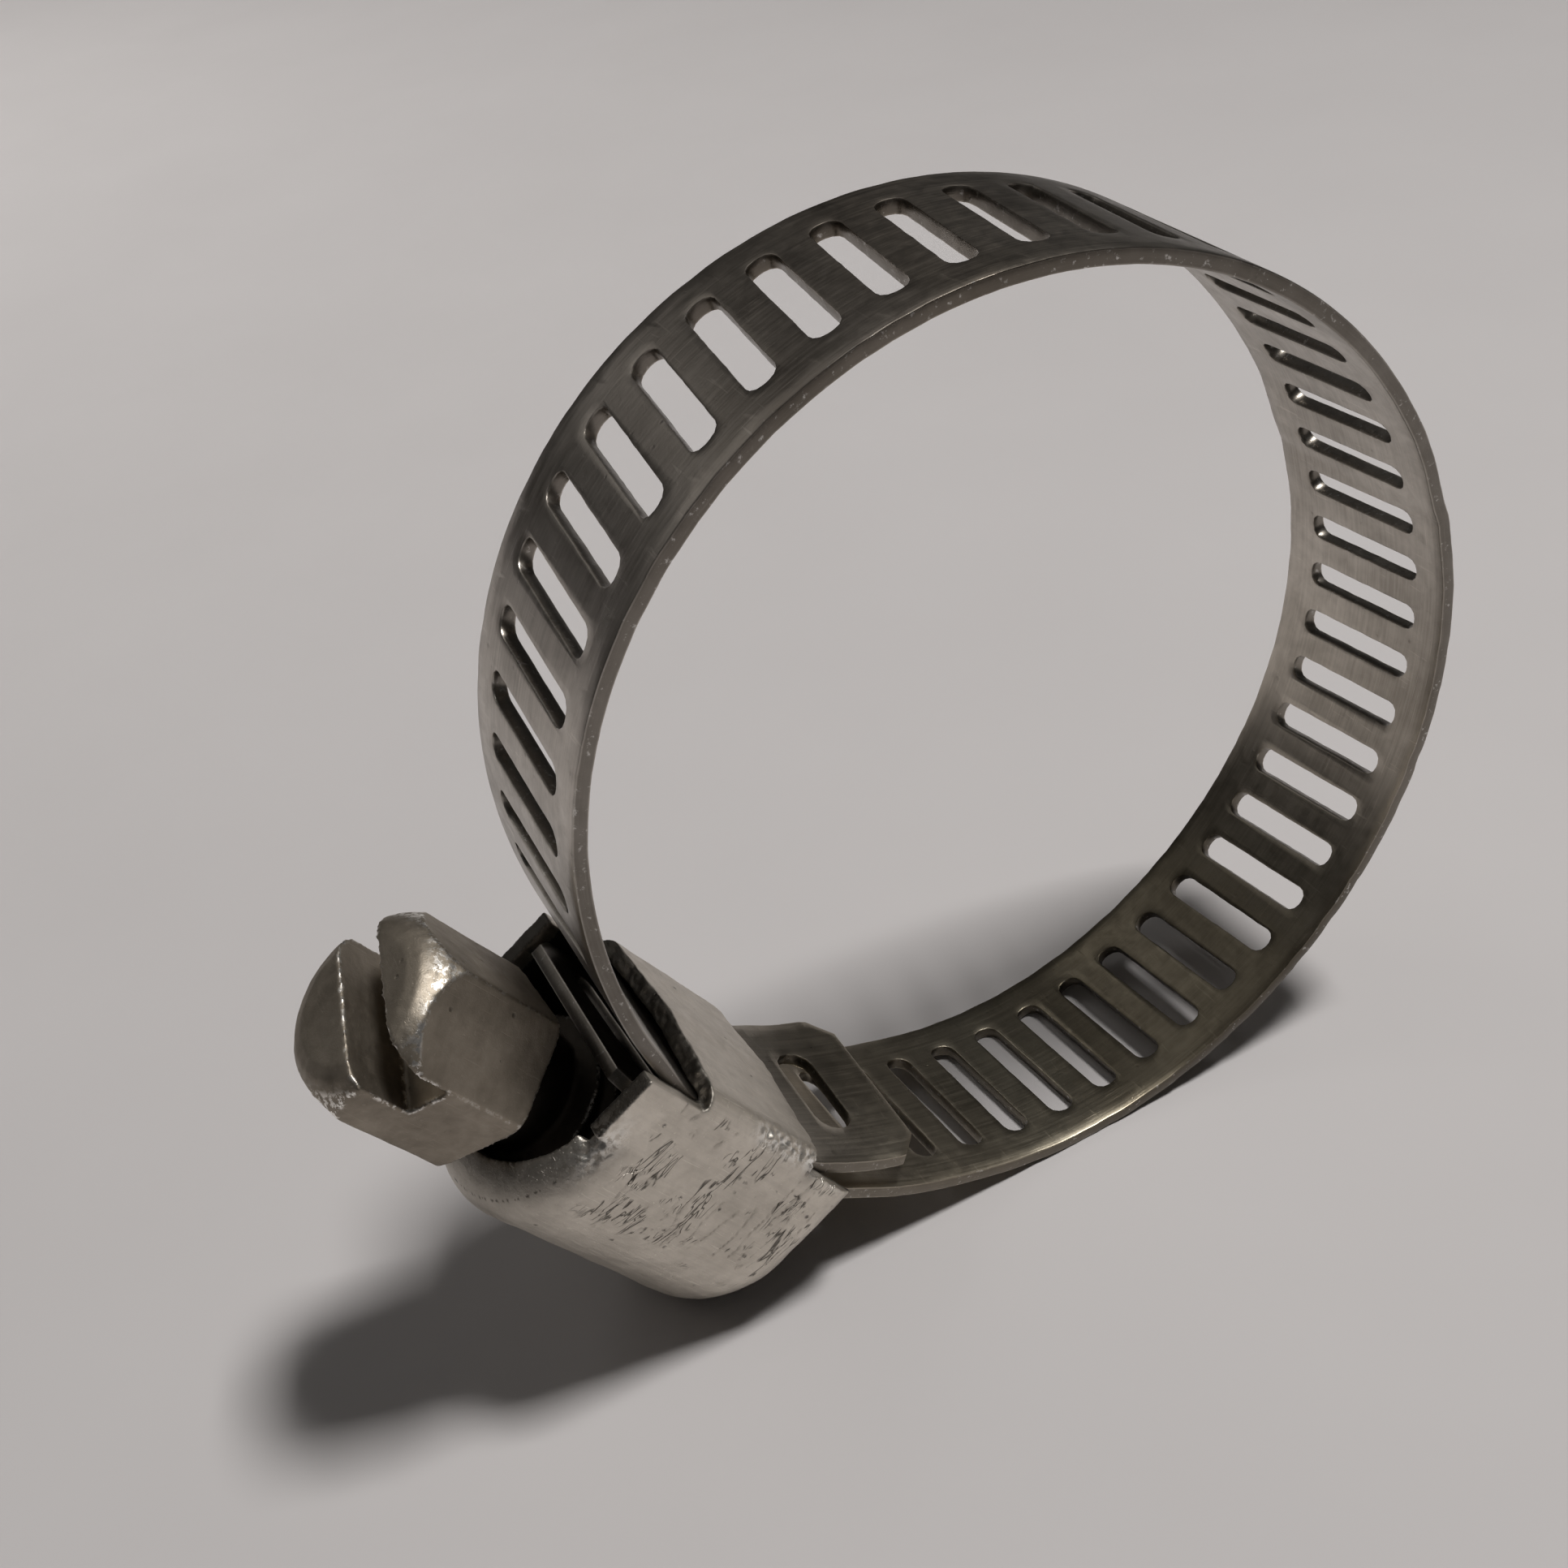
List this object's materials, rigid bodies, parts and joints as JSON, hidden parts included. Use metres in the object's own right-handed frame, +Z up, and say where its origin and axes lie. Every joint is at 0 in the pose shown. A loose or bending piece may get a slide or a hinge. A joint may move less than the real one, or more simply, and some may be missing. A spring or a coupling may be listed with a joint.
{
  "type": "worm-drive hose clamp",
  "caption": "Worm-drive hose clamp: a slotted steel band looped round and tightened by a hex-head worm screw in a small folded housing.",
  "frame": {"origin": "centre of the band's loop, half way across the band", "axes": "+Y along the axis of the loop (the hose), +Z up as the clamp stands on its loop and the nose of its housing; the screw points down and to +X, 59.5 degrees below horizontal"},
  "size_m": [0.0417, 0.0094, 0.0358],
  "materials": {
    "housing_steel": "tumbled satin",
    "screw_steel": "satin, darker",
    "band_steel": "satin strip"
  },
  "bodies": {
    "clamp_body": {"housing": "housing_steel", "band_fixed_half": "band_steel"},
    "screw": {"worm_screw": "screw_steel"},
    "loop": {"band_free_half": "band_steel"},
    "tail": {"band_tail": "band_steel"}
  },
  "joints": [
    {"name": "screw_turn", "type": "hinge", "parent": "clamp_body", "child": "screw", "pos_m": [-0.01683, 0, -0.00991], "axis": [0.5075, 0, -0.8616], "range_deg": [-180, 180]},
    {"name": "band_close", "type": "hinge", "parent": "clamp_body", "child": "loop", "pos_m": [0.01537, 0, 0.00369], "axis": [0, 1, 0], "range_deg": [-1.93, 1.93]},
    {"name": "tail_follow", "type": "hinge", "parent": "loop", "child": "tail", "pos_m": [-0.01154, 0, -0.01295], "axis": [0, 1, 0], "range_deg": [-1.93, 1.93]}
  ],
  "couplings": [
    {"joint": "band_close", "follows": "screw_turn", "ratio": 0.010702},
    {"joint": "tail_follow", "follows": "screw_turn", "ratio": -0.010702}
  ]
}
